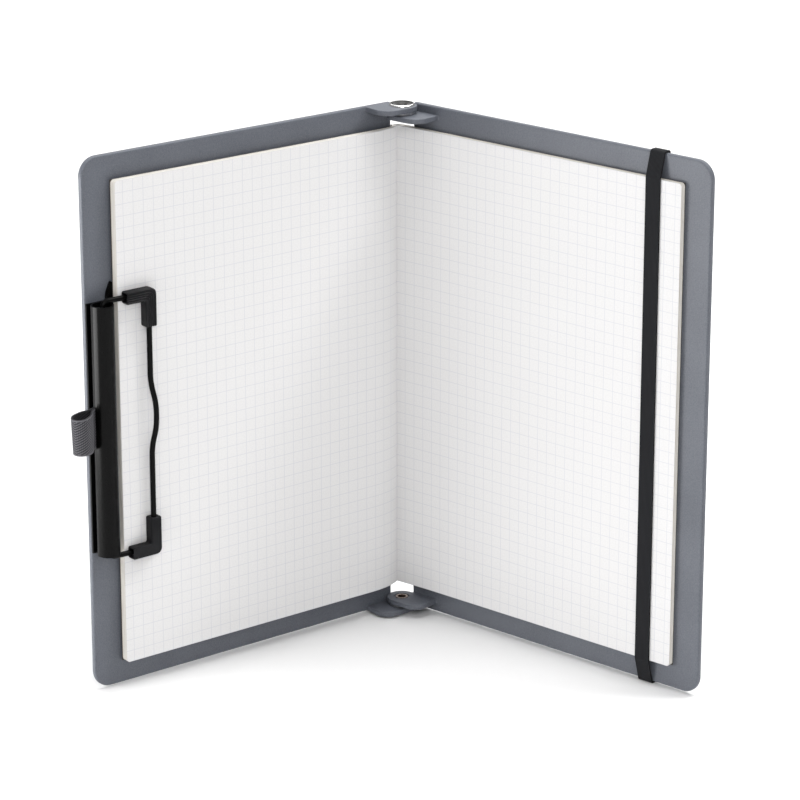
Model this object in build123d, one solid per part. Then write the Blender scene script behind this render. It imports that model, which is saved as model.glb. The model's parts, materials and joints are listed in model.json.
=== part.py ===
from build123d import *
import math
import os

# Folding clipboard: two moulded covers on riveted ears, standing open on their bottom edges.
# Each half is drawn as a leaf, flat, and then turned to its place. In the leaf frame x is the
# distance along the cover from the hinge axis, y is the height above the cover's inner face,
# and z is up. The finished part has the hinge axis on z, the lowest point at z = 0, and
# opens towards -y. Lengths are in millimetres and angles in degrees.

os.makedirs("parts", exist_ok=True)

# Driving dimensions: covers and hinge
REST_OPENING = 100.0
COVER_WIDTH = 159.0
COVER_HEIGHT = 231.0
COVER_THICKNESS = 2.5
COVER_CORNER = 8.0
COVER_EDGE_ROUND = 0.8
PIVOT_HEIGHT = 7.0
SPINE_SETBACK = 0.8
EAR_THICKNESS = 2.3
EAR_END_RADIUS = 6.6
EAR_REACH = 14.4
EAR_CORNER = 6.5
EAR_ROOT_FILLET = 0.8
EAR_EDGE_ROUND = 0.4
MARGIN = 1.0

# Hinge rivets and washers
SHAFT_RADIUS = 2.4
BORE_RADIUS = 1.9
HEAD_RADIUS = 5.6
HEAD_CREST_RADIUS = 4.9
HEAD_HEIGHT = 0.9
LIP_RADIUS = 4.3
LIP_DEPTH = 0.4
FUNNEL_DEPTH = 1.7
SINK_RADIUS = 4.6
SINK_DEPTH = 1.1
COLLAR_RADIUS = 2.8
COLLAR_LENGTH = 0.65
COLLAR_RECESS_RADIUS = 3.4
WASHER_RADIUS = 5.5
WASHER_THICKNESS = 1.15
RUNNING_GAP = 0.05

# Clip: base plate, barrel, springs and bail
SHEET = 0.8
CLIP_RISE = 0.4
BARREL_LENGTH = 108.4
BARREL_RADIUS = 4.85
BARREL_INSET = 5.0
BARREL_AXIS_HEIGHT = 5.45
PLATE_UP, PLATE_DOWN = 60.0, 55.5
PLATE_NEAR, PLATE_FAR = 10.0, 31.0
PLATE_CORNER = 3.7
NOSE_INSET = 2.3
NOSE_RISE = 2.2
NOSE_FALL = 3.0
NOSE_SIDE_ROUND = 9.0
NOSE_TIP_ROUND = 0.6
STRIP_INSET = 0.3
CLIP_RIVET_INSET = 20.0
CLIP_RIVET_SPACING = 80.0
CLIP_RIVET_RADIUS = 1.6
CLIP_RIVET_HEAD = 3.2
CLIP_RIVET_TAIL_HEIGHT = 0.8
CLIP_RIVET_TAIL_ROUND = 0.7
WIRE_RADIUS = 1.15
BAIL_ARM_SPACING = 111.2
BAIL_REACH = 21.8
BAIL_RUN_HEIGHT = 7.0
BAIL_BEND = 3.0
BOW_HALF_LENGTH = 14.0
BOW_TOP_HALF_LENGTH = 5.0
BOW_SIDE = 1.5
BOW_RISE = 1.6
BOW_BEND = 34.0
BOW_OFFSET = 3.0
BUSH_LENGTH = 4.0
BUSH_RECESS = 2.0
ANCHOR_LENGTH = 6.0
ANCHOR_INNER = 12.0
LEG_SOCKET = 4.5
LEG_END_GAP = 0.5
SPRING_WIRE_RADIUS = 0.65
SPRING_MEAN_RADIUS = 3.0
SPRING_TURNS = 13
SPRING_END_GAP = 1.0

# Rubber guards on the bail's corners
GUARD_WIDTH = 5.2
GUARD_DEPTH = 4.7
GUARD_ARM = 14.4
GUARD_LEG = 16.5
GUARD_OUTER_ROUND = 2.6
GUARD_INNER_ROUND = 0.8
GUARD_EDGE_ROUND = 0.5

# Pen loop
TAPE = 0.9
TAPE_WIDTH = 17.5
SLOT_CLEARANCE = 0.15
LOOP_RADIUS = 4.0
LOOP_OUTBOARD = 8.3
LOOP_RISE = 2.0
LOOP_HEIGHT = 7.2
LOOP_PIN_RADIUS = 0.7
LOOP_PIN_INSET = 4.2
LOOP_PIN_HEIGHT = 3.2
LOOP_CREASE_RADIUS = 0.02

# Elastic band
BAND_WIDTH = 7.5
BAND_THICKNESS = 0.8
BAND_INSET = 27.2
BAND_GAP = 0.1
BAND_EDGE_HEIGHT = 0.3
BAND_LAP_LENGTH = 14.0

# Notebook
PAGE_HEIGHT = 210.0
PAGE_INSET = 13.2
PAGE_CORNER = 1.5
GUTTER_SETBACK = 1.1
CARD = 0.35
LEFT_PAGES_TOP = 4.6
RIGHT_PAGES_TOP = 2.7

# Derived places
OUTER_EDGE = SPINE_SETBACK + COVER_WIDTH
COVER_BOTTOM = BAND_THICKNESS + BAND_GAP
COVER_TOP = COVER_BOTTOM + COVER_HEIGHT
CLIP_MIDDLE = (COVER_BOTTOM + COVER_TOP) / 2 + CLIP_RISE
LOOP_LOW = CLIP_MIDDLE + LOOP_RISE - TAPE_WIDTH / 2
LOOP_HIGH = LOOP_LOW + TAPE_WIDTH
PAGE_BOTTOM = COVER_BOTTOM + (COVER_HEIGHT - PAGE_HEIGHT) / 2
PAGE_TOP = PAGE_BOTTOM + PAGE_HEIGHT
BARREL_X = OUTER_EDGE - BARREL_INSET
BARREL_BORE = BARREL_RADIUS - SHEET
LOOP_PIN = Vector(OUTER_EDGE - LOOP_PIN_INSET, LOOP_PIN_HEIGHT)
LOOP_CENTRE = Vector(OUTER_EDGE + LOOP_OUTBOARD, LOOP_HEIGHT)
HALF_OPENING = REST_OPENING / 2
LEFT_TURN = -90 - HALF_OPENING
RIGHT_TURN = HALF_OPENING - 90
RIVET_LENGTH = HEAD_HEIGHT + EAR_THICKNESS + WASHER_THICKNESS + EAR_THICKNESS


def place_left(shape):
    """Turns a piece from the leaf frame to the left cover's place."""
    return (Pos(0, -PIVOT_HEIGHT, 0) * shape).rotate(Axis.Z, LEFT_TURN)


def place_right(shape):
    """Turns a piece from the leaf frame to the right cover's place, which is its mirror image."""
    return mirror(Pos(0, -PIVOT_HEIGHT, 0) * shape, Plane.XZ).rotate(Axis.Z, RIGHT_TURN)


def block(x_range, y_range, z_range):
    """A box between two limits on each axis."""
    size = [high - low for low, high in (x_range, y_range, z_range)]
    middle = [(high + low) / 2 for low, high in (x_range, y_range, z_range)]
    return Pos(*middle) * Box(*size)


def prism(sketch, bottom, top):
    """A sketch in the xy plane, extruded between two heights."""
    return Pos(0, 0, bottom) * extrude(sketch, top - bottom)


def rod(x, y, radius, bottom, top):
    """An upright cylinder."""
    return Pos(x, y, (bottom + top) / 2) * Cylinder(radius, top - bottom)


def cover_plate():
    """The flat plate of a cover, with round outer corners and softened edges."""
    plate = block((SPINE_SETBACK, OUTER_EDGE), (-COVER_THICKNESS, 0), (COVER_BOTTOM, COVER_TOP))
    corners = plate.edges().filter_by(Axis.Y).sort_by(Axis.X)[-2:]
    plate = fillet(corners, COVER_CORNER)
    rims = plate.faces().filter_by(Axis.Y).edges()
    rims = rims.filter_by(lambda edge: edge.center().X > SPINE_SETBACK + MARGIN)
    return fillet(rims, COVER_EDGE_ROUND)


def ear_outline():
    """Plan of a hinge ear: it leaves the cover's inner face and ends round at the hinge axis."""
    front = PIVOT_HEIGHT + EAR_END_RADIUS
    root = -COVER_THICKNESS / 2
    foot = EAR_REACH + EAR_ROOT_FILLET + MARGIN
    back = PIVOT_HEIGHT - EAR_END_RADIUS
    points = [(SPINE_SETBACK, root), (foot, root), (foot, 0), (EAR_REACH, 0), (EAR_REACH, front),
              (0, front), (0, back), (SPINE_SETBACK, back)]
    outline = make_face(Polyline(*points, close=True))
    corner = outline.vertices().sort_by_distance((EAR_REACH, front, 0))[0]
    outline = fillet(corner, EAR_CORNER)
    inner = outline.vertices().sort_by_distance((EAR_REACH, 0, 0))[0]
    outline = fillet(inner, EAR_ROOT_FILLET)
    return outline + Pos(0, PIVOT_HEIGHT) * Circle(EAR_END_RADIUS)


def ear(bottom, thickness, hole_radius):
    """A hinge ear with the hole for the rivet."""
    solid = prism(ear_outline(), bottom, bottom + thickness)
    rims = solid.faces().filter_by(Axis.Z).edges()
    rims = rims.filter_by(lambda edge: edge.center().Y > EAR_ROOT_FILLET + MARGIN)
    solid = fillet(rims, EAR_EDGE_ROUND)
    return solid - rod(0, PIVOT_HEIGHT, hole_radius, bottom - MARGIN, bottom + thickness + MARGIN)


def left_cover():
    """Cover with the outer pair of ears, countersunk for the hinge rivets."""
    solid = cover_plate()
    for bottom in (COVER_BOTTOM, COVER_TOP - EAR_THICKNESS):
        solid += ear(bottom, EAR_THICKNESS, SHAFT_RADIUS)
    lower_sink = Pos(0, 0, COVER_BOTTOM + SINK_DEPTH / 2) * Cone(SINK_RADIUS, SHAFT_RADIUS, SINK_DEPTH)
    upper_sink = Pos(0, 0, COVER_TOP - SINK_DEPTH / 2) * Cone(SHAFT_RADIUS, SINK_RADIUS, SINK_DEPTH)
    solid -= Pos(0, PIVOT_HEIGHT, 0) * lower_sink
    solid -= Pos(0, PIVOT_HEIGHT, 0) * upper_sink
    for z in clip_rivet_heights():
        hole = Rot(90, 0, 0) * Cylinder(CLIP_RIVET_RADIUS, 4 * COVER_THICKNESS)
        solid -= Pos(OUTER_EDGE - CLIP_RIVET_INSET, 0, z) * hole
    return solid


def right_cover():
    """Cover with the inner pair of ears, each recessed for the rivet's rolled end."""
    step = EAR_THICKNESS + WASHER_THICKNESS + RUNNING_GAP
    recess_depth = COLLAR_LENGTH + 2 * RUNNING_GAP
    thickness = EAR_THICKNESS - RUNNING_GAP
    solid = cover_plate()
    for bottom, inner_side in ((COVER_BOTTOM + step, 1), (COVER_TOP - step - thickness, -1)):
        lug = ear(bottom, thickness, SHAFT_RADIUS + RUNNING_GAP)
        mouth = bottom + thickness if inner_side > 0 else bottom
        floor = mouth - inner_side * recess_depth
        lug -= rod(0, PIVOT_HEIGHT, COLLAR_RECESS_RADIUS, min(mouth, floor), max(mouth, floor))
        solid += lug
    return solid


def hinge_rivet():
    """Tubular rivet, head at z = 0 and shaft up: flared lip, open bore and rolled end."""
    end = RIVET_LENGTH - RUNNING_GAP
    collar = end - COLLAR_LENGTH
    seat = HEAD_HEIGHT
    with BuildSketch(Plane.XZ) as section:
        with BuildLine():
            Polyline((BORE_RADIUS, FUNNEL_DEPTH), (BORE_RADIUS, end), (COLLAR_RADIUS, end),
                     (COLLAR_RADIUS, collar), (SHAFT_RADIUS, collar),
                     (SHAFT_RADIUS, seat + SINK_DEPTH), (SINK_RADIUS, seat), (HEAD_RADIUS, seat))
            EllipticalCenterArc((HEAD_CREST_RADIUS, seat), HEAD_RADIUS - HEAD_CREST_RADIUS, seat,
                                start_angle=270, arc_size=90)
            EllipticalCenterArc((HEAD_CREST_RADIUS, LIP_DEPTH), HEAD_CREST_RADIUS - LIP_RADIUS,
                                LIP_DEPTH, start_angle=180, arc_size=90)
            Line((LIP_RADIUS, LIP_DEPTH), (BORE_RADIUS, FUNNEL_DEPTH))
        make_face()
    return revolve(section.sketch, Axis.Z)


def hinge_washer(bottom):
    """Flat washer that keeps the two ears of a hinge apart."""
    ring = rod(0, 0, WASHER_RADIUS, bottom, bottom + WASHER_THICKNESS)
    return ring - rod(0, 0, SHAFT_RADIUS, bottom, bottom + WASHER_THICKNESS)


def clip_rivet_heights():
    """Heights of the two rivets that hold the clip on the cover."""
    return [CLIP_MIDDLE + side * CLIP_RIVET_SPACING / 2 for side in (-1, 1)]


def barrel_ends():
    """Lower and upper end of the barrel."""
    return [CLIP_MIDDLE + side * BARREL_LENGTH / 2 for side in (-1, 1)]


def tape_neck(thickness):
    """Plan of the two tape layers that lead from the loop's pin, through the barrel, outside."""
    neck = LOOP_CENTRE - LOOP_PIN
    angle = math.degrees(math.atan2(neck.Y, neck.X))
    middle = (LOOP_CENTRE + LOOP_PIN) / 2
    return Pos(middle.X, middle.Y) * Rot(0, 0, angle) * Rectangle(neck.length, thickness)


def plate_outline():
    """Face of the plate about the clip's middle, with a pointed nose at its upper near corner."""
    near, far = OUTER_EDGE - PLATE_NEAR, OUTER_EDGE - PLATE_FAR
    tip = near - NOSE_INSET
    points = [(near, PLATE_UP - NOSE_FALL), (tip, PLATE_UP + NOSE_RISE), (tip - NOSE_INSET, PLATE_UP),
              (far, PLATE_UP), (far, -PLATE_DOWN), (near, -PLATE_DOWN)]
    outline = make_face(Polyline(*points, close=True))
    rounds = [(points[0], NOSE_SIDE_ROUND), (points[1], NOSE_TIP_ROUND), (points[3], PLATE_CORNER),
              (points[4], PLATE_CORNER)]
    for (x, y), radius in rounds:
        corner = outline.vertices().sort_by_distance((x, y, 0))[0]
        outline = fillet(corner, radius)
    return outline


def clip_base_plate():
    """Sheet steel plate under the pages with the rolled barrel along its outer border."""
    barrel_low, barrel_high = barrel_ends()
    leaf = Pos(0, SHEET, CLIP_MIDDLE) * extrude(Plane.XZ * plate_outline(), SHEET)
    border = (OUTER_EDGE - PLATE_NEAR - PLATE_CORNER, OUTER_EDGE - STRIP_INSET)
    leaf += block(border, (0, SHEET), (barrel_low, barrel_high))
    barrel = rod(BARREL_X, BARREL_AXIS_HEIGHT, BARREL_RADIUS, barrel_low, barrel_high)
    solid = leaf + barrel
    solid -= rod(BARREL_X, BARREL_AXIS_HEIGHT, BARREL_BORE, barrel_low, barrel_high)
    slot_plan = tape_neck(2 * (TAPE + SLOT_CLEARANCE))
    slot = prism(slot_plan, LOOP_LOW - SLOT_CLEARANCE, LOOP_HIGH + SLOT_CLEARANCE)
    outer_half = (BARREL_X, OUTER_EDGE + MARGIN)
    solid -= slot & block(outer_half, (SHEET, 2 * BARREL_AXIS_HEIGHT), (barrel_low, barrel_high))
    for z in clip_rivet_heights():
        sink = Rot(-90, 0, 0) * Cone(CLIP_RIVET_RADIUS, CLIP_RIVET_RADIUS + SHEET, SHEET)
        solid -= Pos(OUTER_EDGE - CLIP_RIVET_INSET, SHEET / 2, z) * sink
    return solid


def clip_rivets():
    """Two rivets, flush in the plate and domed on the back of the cover."""
    solids = []
    for z in clip_rivet_heights():
        back = -COVER_THICKNESS
        head = Rot(-90, 0, 0) * Cone(CLIP_RIVET_RADIUS, CLIP_RIVET_RADIUS + SHEET, SHEET)
        shank = Rot(90, 0, 0) * Cylinder(CLIP_RIVET_RADIUS, COVER_THICKNESS)
        tail = Rot(90, 0, 0) * Cylinder(CLIP_RIVET_HEAD, CLIP_RIVET_TAIL_HEIGHT)
        tail = fillet(tail.faces().sort_by(Axis.Y)[0].edges(), CLIP_RIVET_TAIL_ROUND)
        rivet = Pos(0, SHEET / 2, 0) * head + Pos(0, back / 2, 0) * shank
        rivet += Pos(0, back - CLIP_RIVET_TAIL_HEIGHT / 2, 0) * tail
        solids.append(place_left(Pos(OUTER_EDGE - CLIP_RIVET_INSET, 0, z) * rivet))
    return Compound(solids)


def anchor_range(side):
    """Bottom and top of the upper or lower spring anchor."""
    ends = [CLIP_MIDDLE + side * reach for reach in (ANCHOR_INNER, ANCHOR_INNER + ANCHOR_LENGTH)]
    return min(ends), max(ends)


def bush_range(side):
    """Bottom and top of the bush inside the upper or lower mouth of the barrel."""
    mouth = BARREL_LENGTH / 2 - BUSH_RECESS
    ends = [CLIP_MIDDLE + side * reach for reach in (mouth - BUSH_LENGTH, mouth)]
    return min(ends), max(ends)


def barrel_bush(side):
    """Plain bearing that guides the bail's leg in the mouth of the barrel."""
    bottom, top = bush_range(side)
    hole = WIRE_RADIUS + RUNNING_GAP
    ring = rod(BARREL_X, BARREL_AXIS_HEIGHT, BARREL_BORE, bottom, top)
    return ring - rod(BARREL_X, BARREL_AXIS_HEIGHT, hole, bottom, top)


def spring_anchor(side):
    """Plug crimped in the barrel: it holds the spring's end and the end of the bail's leg."""
    bottom, top = anchor_range(side)
    plug = rod(BARREL_X, BARREL_AXIS_HEIGHT, BARREL_BORE, bottom, top)
    mouth = top if side > 0 else bottom
    floor = mouth - side * (LEG_SOCKET + LEG_END_GAP)
    socket = (min(mouth, floor), max(mouth, floor))
    return plug - rod(BARREL_X, BARREL_AXIS_HEIGHT, WIRE_RADIUS + RUNNING_GAP, *socket)


def torsion_spring(side):
    """Coil round the bail's leg, between the anchor and the bush."""
    inner = ANCHOR_INNER + ANCHOR_LENGTH
    outer = BARREL_LENGTH / 2 - BUSH_RECESS - BUSH_LENGTH
    margin = SPRING_END_GAP + SPRING_WIRE_RADIUS
    height = outer - inner - 2 * margin
    path = Helix(height / SPRING_TURNS, height, SPRING_MEAN_RADIUS)
    profile = Plane(origin=path @ 0, z_dir=path % 0) * Circle(SPRING_WIRE_RADIUS)
    coil = sweep(profile, path, is_frenet=True)
    low = inner + margin if side > 0 else -outer + margin
    return Pos(BARREL_X, BARREL_AXIS_HEIGHT, CLIP_MIDDLE + low) * coil


def bail_path():
    """Middle line of the bail: two legs in the barrel, two arms and a bowed run on the paper."""
    arm = BAIL_ARM_SPACING / 2
    leg_end = ANCHOR_INNER + ANCHOR_LENGTH - LEG_SOCKET
    run_x, run_y = BARREL_X - BAIL_REACH, BAIL_RUN_HEIGHT
    bow_x, bow_y = run_x - BOW_SIDE, run_y + BOW_RISE
    upper = [(BARREL_X, BARREL_AXIS_HEIGHT, leg_end), (BARREL_X, BARREL_AXIS_HEIGHT, arm),
             (run_x, run_y, arm)]
    bow = [(run_x, run_y, BOW_HALF_LENGTH), (bow_x, bow_y, BOW_TOP_HALF_LENGTH)]
    bow += [(x, y, -z) for x, y, z in reversed(bow)]
    bow = [(x, y, z + BOW_OFFSET) for x, y, z in bow]
    lower = [(x, y, -z) for x, y, z in reversed(upper)]
    points = [Vector(x, y, CLIP_MIDDLE + z) for x, y, z in upper + bow + lower]
    bends = [BAIL_BEND, BAIL_BEND, BOW_BEND, BOW_BEND]
    return FilletPolyline(*points, radius=bends + bends[::-1])


def bail_wire():
    """Black spring wire bail."""
    path = bail_path()
    profile = Plane(origin=path @ 0, z_dir=path % 0) * Circle(WIRE_RADIUS)
    return sweep(profile, path)


def corner_guard(side, wire):
    """L-shaped rubber moulding over a corner of the bail."""
    arm_z = CLIP_MIDDLE + side * BAIL_ARM_SPACING / 2
    outer_x = BARREL_X - BAIL_REACH - GUARD_WIDTH / 2
    outer_z = arm_z + side * GUARD_WIDTH / 2
    y_range = (BAIL_RUN_HEIGHT - GUARD_DEPTH / 2, BAIL_RUN_HEIGHT + GUARD_DEPTH / 2)
    arm_ends = sorted((outer_z, outer_z - side * GUARD_WIDTH))
    leg_ends = sorted((outer_z, outer_z - side * GUARD_LEG))
    solid = block((outer_x, outer_x + GUARD_ARM), y_range, arm_ends)
    solid += block((outer_x, outer_x + GUARD_WIDTH), y_range, leg_ends)
    bends = solid.edges().filter_by(Axis.Y)
    outer = bends.sort_by_distance((outer_x, BAIL_RUN_HEIGHT, outer_z))[0]
    solid = fillet(outer, GUARD_OUTER_ROUND)
    inner_corner = (outer_x + GUARD_WIDTH, BAIL_RUN_HEIGHT, outer_z - side * GUARD_WIDTH)
    inner = solid.edges().filter_by(Axis.Y).sort_by_distance(inner_corner)[0]
    solid = fillet(inner, GUARD_INNER_ROUND)
    solid = fillet(solid.faces().filter_by(Axis.Y).edges(), GUARD_EDGE_ROUND)
    return solid - wire


def loop_outline(growth):
    """Plan of the pen loop's teardrop, from just outside the barrel to its round end."""
    neck = LOOP_CENTRE - LOOP_PIN
    tip = LOOP_PIN + neck * ((OUTER_EDGE + TAPE - LOOP_PIN.X) / neck.X)
    tip_circle = Pos(tip.X, tip.Y) * Circle(TAPE + growth)
    end_circle = Pos(LOOP_CENTRE.X, LOOP_CENTRE.Y) * Circle(LOOP_RADIUS + growth)
    return make_hull((tip_circle + end_circle).edges())


def pen_loop():
    """Elastic tape: an eye round the pin in the barrel, a flat neck and the loop for the pen."""
    eye = Pos(LOOP_PIN.X, LOOP_PIN.Y)
    plan = loop_outline(0) - loop_outline(LOOP_CREASE_RADIUS - TAPE)
    plan += tape_neck(2 * TAPE) - loop_outline(-TAPE / 2)
    plan += eye * Circle(LOOP_PIN_RADIUS + TAPE)
    plan -= eye * Circle(LOOP_PIN_RADIUS)
    return prism(plan, LOOP_LOW, LOOP_HIGH)


def pen_loop_pin():
    """Pin inside the barrel that the pen loop is threaded round."""
    ends = (CLIP_MIDDLE - ANCHOR_INNER, CLIP_MIDDLE + ANCHOR_INNER)
    return rod(LOOP_PIN.X, LOOP_PIN.Y, LOOP_PIN_RADIUS, *ends)


def elastic_band():
    """Closed loop of flat elastic round the right cover and its pages."""
    front, back = RIGHT_PAGES_TOP + BAND_GAP, -COVER_THICKNESS - BAND_GAP
    top, bottom = COVER_TOP + BAND_GAP, COVER_BOTTOM - BAND_GAP
    inside = [(back, bottom), (BAND_EDGE_HEIGHT, bottom), (front, PAGE_BOTTOM),
              (front, PAGE_TOP), (BAND_EDGE_HEIGHT, top), (back, top)]
    with BuildSketch(Plane.YZ) as section:
        with BuildLine():
            Polyline(*inside, close=True)
        make_face()
        offset(amount=BAND_THICKNESS, kind=Kind.ARC)
        with BuildLine():
            Polyline(*inside, close=True)
        make_face(mode=Mode.SUBTRACT)
    low = OUTER_EDGE - BAND_INSET - BAND_WIDTH / 2
    loop = Pos(low, 0, 0) * extrude(section.sketch, BAND_WIDTH)
    lap = block((low, low + BAND_WIDTH), (back - 2 * BAND_THICKNESS, back - BAND_THICKNESS / 2),
                (CLIP_MIDDLE - BAND_LAP_LENGTH / 2, CLIP_MIDDLE + BAND_LAP_LENGTH / 2))
    return loop + lap


def page_block(bottom, top):
    """Leaves of one half of the notebook, between two heights above the cover's inner face."""
    fore_edge = OUTER_EDGE - PAGE_INSET
    solid = block((GUTTER_SETBACK, fore_edge), (bottom, top), (PAGE_BOTTOM, PAGE_TOP))
    corners = solid.edges().filter_by(Axis.Y).sort_by(Axis.X)[-2:]
    return fillet(corners, PAGE_CORNER)


wire = bail_wire()
pages_bottom_left = SHEET + CARD
rivet_top = COVER_TOP + HEAD_HEIGHT

parts = {
    "left_cover": place_left(left_cover()),
    "right_cover": place_right(right_cover()),
    "lower_hinge_rivet": hinge_rivet(),
    "upper_hinge_rivet": Pos(0, 0, rivet_top) * Rot(180, 0, 0) * hinge_rivet(),
    "lower_hinge_washer": hinge_washer(COVER_BOTTOM + EAR_THICKNESS),
    "upper_hinge_washer": hinge_washer(COVER_TOP - EAR_THICKNESS - WASHER_THICKNESS),
    "clip_base_plate": place_left(clip_base_plate()),
    "clip_rivets": clip_rivets(),
    "bail_wire": place_left(wire),
    "pen_loop": place_left(pen_loop()),
    "pen_loop_pin": place_left(pen_loop_pin()),
    "elastic_band": place_right(elastic_band()),
    "notebook_front_cover": place_left(page_block(SHEET, pages_bottom_left)),
    "notebook_left_pages": place_left(page_block(pages_bottom_left, LEFT_PAGES_TOP)),
    "notebook_right_pages": place_right(page_block(CARD, RIGHT_PAGES_TOP)),
    "notebook_back_cover": place_right(page_block(0, CARD)),
}
for name, side in (("upper", 1), ("lower", -1)):
    parts[name + "_corner_guard"] = place_left(corner_guard(side, wire))
    parts[name + "_torsion_spring"] = place_left(torsion_spring(side))
    parts[name + "_spring_anchor"] = place_left(spring_anchor(side))
    parts[name + "_barrel_bush"] = place_left(barrel_bush(side))

for name, shape in parts.items():
    shape.label = name
    export_step(shape, f"parts/{name}.step")
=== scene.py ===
import json
import math
import random

import bmesh
import bpy
import numpy as np
from mathutils import Matrix, Vector


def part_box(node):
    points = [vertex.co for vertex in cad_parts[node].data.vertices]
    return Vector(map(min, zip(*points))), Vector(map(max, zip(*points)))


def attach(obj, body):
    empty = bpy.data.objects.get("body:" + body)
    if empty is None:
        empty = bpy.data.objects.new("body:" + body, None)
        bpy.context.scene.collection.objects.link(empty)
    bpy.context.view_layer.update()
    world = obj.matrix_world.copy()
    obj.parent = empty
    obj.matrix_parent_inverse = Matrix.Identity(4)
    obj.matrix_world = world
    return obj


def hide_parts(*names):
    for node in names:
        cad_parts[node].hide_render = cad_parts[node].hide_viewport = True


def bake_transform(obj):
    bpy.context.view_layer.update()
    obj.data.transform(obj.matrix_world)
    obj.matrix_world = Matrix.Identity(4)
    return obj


# Looks of the folding clipboard. Lengths are in metres. Each half is built as a leaf: x is the
# distance along the cover from the hinge axis, y the height above its inner face, z is up.

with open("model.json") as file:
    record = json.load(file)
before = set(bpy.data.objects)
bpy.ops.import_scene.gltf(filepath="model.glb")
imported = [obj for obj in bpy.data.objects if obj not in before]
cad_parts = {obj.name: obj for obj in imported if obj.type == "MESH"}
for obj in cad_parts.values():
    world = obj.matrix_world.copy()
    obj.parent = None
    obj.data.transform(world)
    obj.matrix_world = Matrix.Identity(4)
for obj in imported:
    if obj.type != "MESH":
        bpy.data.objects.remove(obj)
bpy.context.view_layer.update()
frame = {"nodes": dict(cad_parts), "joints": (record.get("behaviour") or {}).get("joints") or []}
nodes = frame["nodes"]

MM = 0.001
PIVOT_HEIGHT = 7.0 * MM
OUTER_EDGE = 159.8 * MM
LEFT, RIGHT = -1, 1
SLIDE_AXIS = next(j["axis"] for j in frame["joints"] if j["name"] == "band_slide")
PAGE_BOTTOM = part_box("notebook_left_pages")[0].z
PAGE_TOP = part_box("notebook_left_pages")[1].z
COVER_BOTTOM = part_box("left_cover")[0].z
COVER_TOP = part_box("left_cover")[1].z
CLIP_MIDDLE = sum(v.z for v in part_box("bail_wire")) / 2


# ---------------------------------------------------------------- geometry helpers

def leaf_matrix(side):
    """Turns leaf coordinates of one half into the row frame."""
    along = Vector((side * SLIDE_AXIS[0], SLIDE_AXIS[1], 0))
    normal = Vector((side * SLIDE_AXIS[1], -SLIDE_AXIS[0], 0))
    matrix = Matrix((along, normal, (0, 0, 1))).transposed().to_4x4()
    matrix.translation = -PIVOT_HEIGHT * normal
    return matrix


def plan_point(side, x, y):
    """A leaf plan point in the row frame's plan."""
    return (leaf_matrix(side) @ Vector((x, y, 0))).xy


def piece(name, points, faces, material, smooth=True):
    """A mesh object in the row frame from points and faces."""
    mesh = bpy.data.meshes.new(name)
    mesh.from_pydata([tuple(p) for p in points], [], faces)
    bm = bmesh.new()
    bm.from_mesh(mesh)
    bmesh.ops.recalc_face_normals(bm, faces=bm.faces)
    bm.to_mesh(mesh)
    bm.free()
    mesh.polygons.foreach_set("use_smooth", [smooth] * len(mesh.polygons))
    mesh.materials.append(material)
    made = bpy.data.objects.new(name, mesh)
    bpy.context.scene.collection.objects.link(made)
    return made


def store_places(obj, places):
    """Keeps each vertex's place on its flat pattern for the material to read."""
    attribute = obj.data.attributes.new("place", "FLOAT_VECTOR", "POINT")
    attribute.data.foreach_set("vector", np.array(places, np.float32).ravel())


def sharpen(obj, angle=35):
    """Smooth shading with sharp edges past an angle."""
    bm = bmesh.new()
    bm.from_mesh(obj.data)
    for edge in bm.edges:
        edge.smooth = len(edge.link_faces) == 2 and edge.calc_face_angle() < math.radians(angle)
    bm.to_mesh(obj.data)
    bm.free()


def bezier(a, b, c, d, count):
    """Points on a cubic curve."""
    steps = [i / (count - 1) for i in range(count)]
    return [a * (1 - t) ** 3 + 3 * b * (1 - t) ** 2 * t + 3 * c * (1 - t) * t ** 2 + d * t ** 3
            for t in steps]


def rounded_line(points, radii, closed, steps=6):
    """A line through plan points with an arc at each corner that has a radius."""
    made = []
    count = len(points)
    for i, (corner, radius) in enumerate(zip(points, radii)):
        if not closed and i in (0, count - 1):
            made.append(corner)
            continue
        before = (points[i - 1] - corner).normalized()
        after = (points[(i + 1) % count] - corner).normalized()
        half = before.angle(after) / 2
        reach = radius / math.tan(half)
        middle = corner + (before + after).normalized() * (radius / math.sin(half))
        start, end = corner + before * reach - middle, corner + after * reach - middle
        sweep = start.angle_signed(end)
        for k in range(steps + 1):
            turn = Matrix.Rotation(-sweep * k / steps, 2)
            made.append(middle + turn @ start)
    return made


def spaced(points, step, closed):
    """The same line with points about a step apart."""
    made = []
    ends = points[1:] + points[:1] if closed else points[1:]
    for start, end in zip(points, ends):
        parts = max(1, round((end - start).length / step))
        made += [start.lerp(end, k / parts) for k in range(parts)]
    return made if closed else made + [points[-1]]


def normals_of(line, closed):
    """Unit normals of a plan line, on its left."""
    count = len(line)
    made = []
    for i in range(count):
        last = line[i - 1] if closed or i > 0 else line[i]
        following = line[(i + 1) % count] if closed or i < count - 1 else line[i]
        tangent = (following - last).normalized()
        made.append(Vector((-tangent.y, tangent.x)))
    return made


def lengths_of(line):
    """Distance along a line at each of its points."""
    made = [0.0]
    for start, end in zip(line, line[1:]):
        made.append(made[-1] + (end - start).length)
    return made


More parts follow.
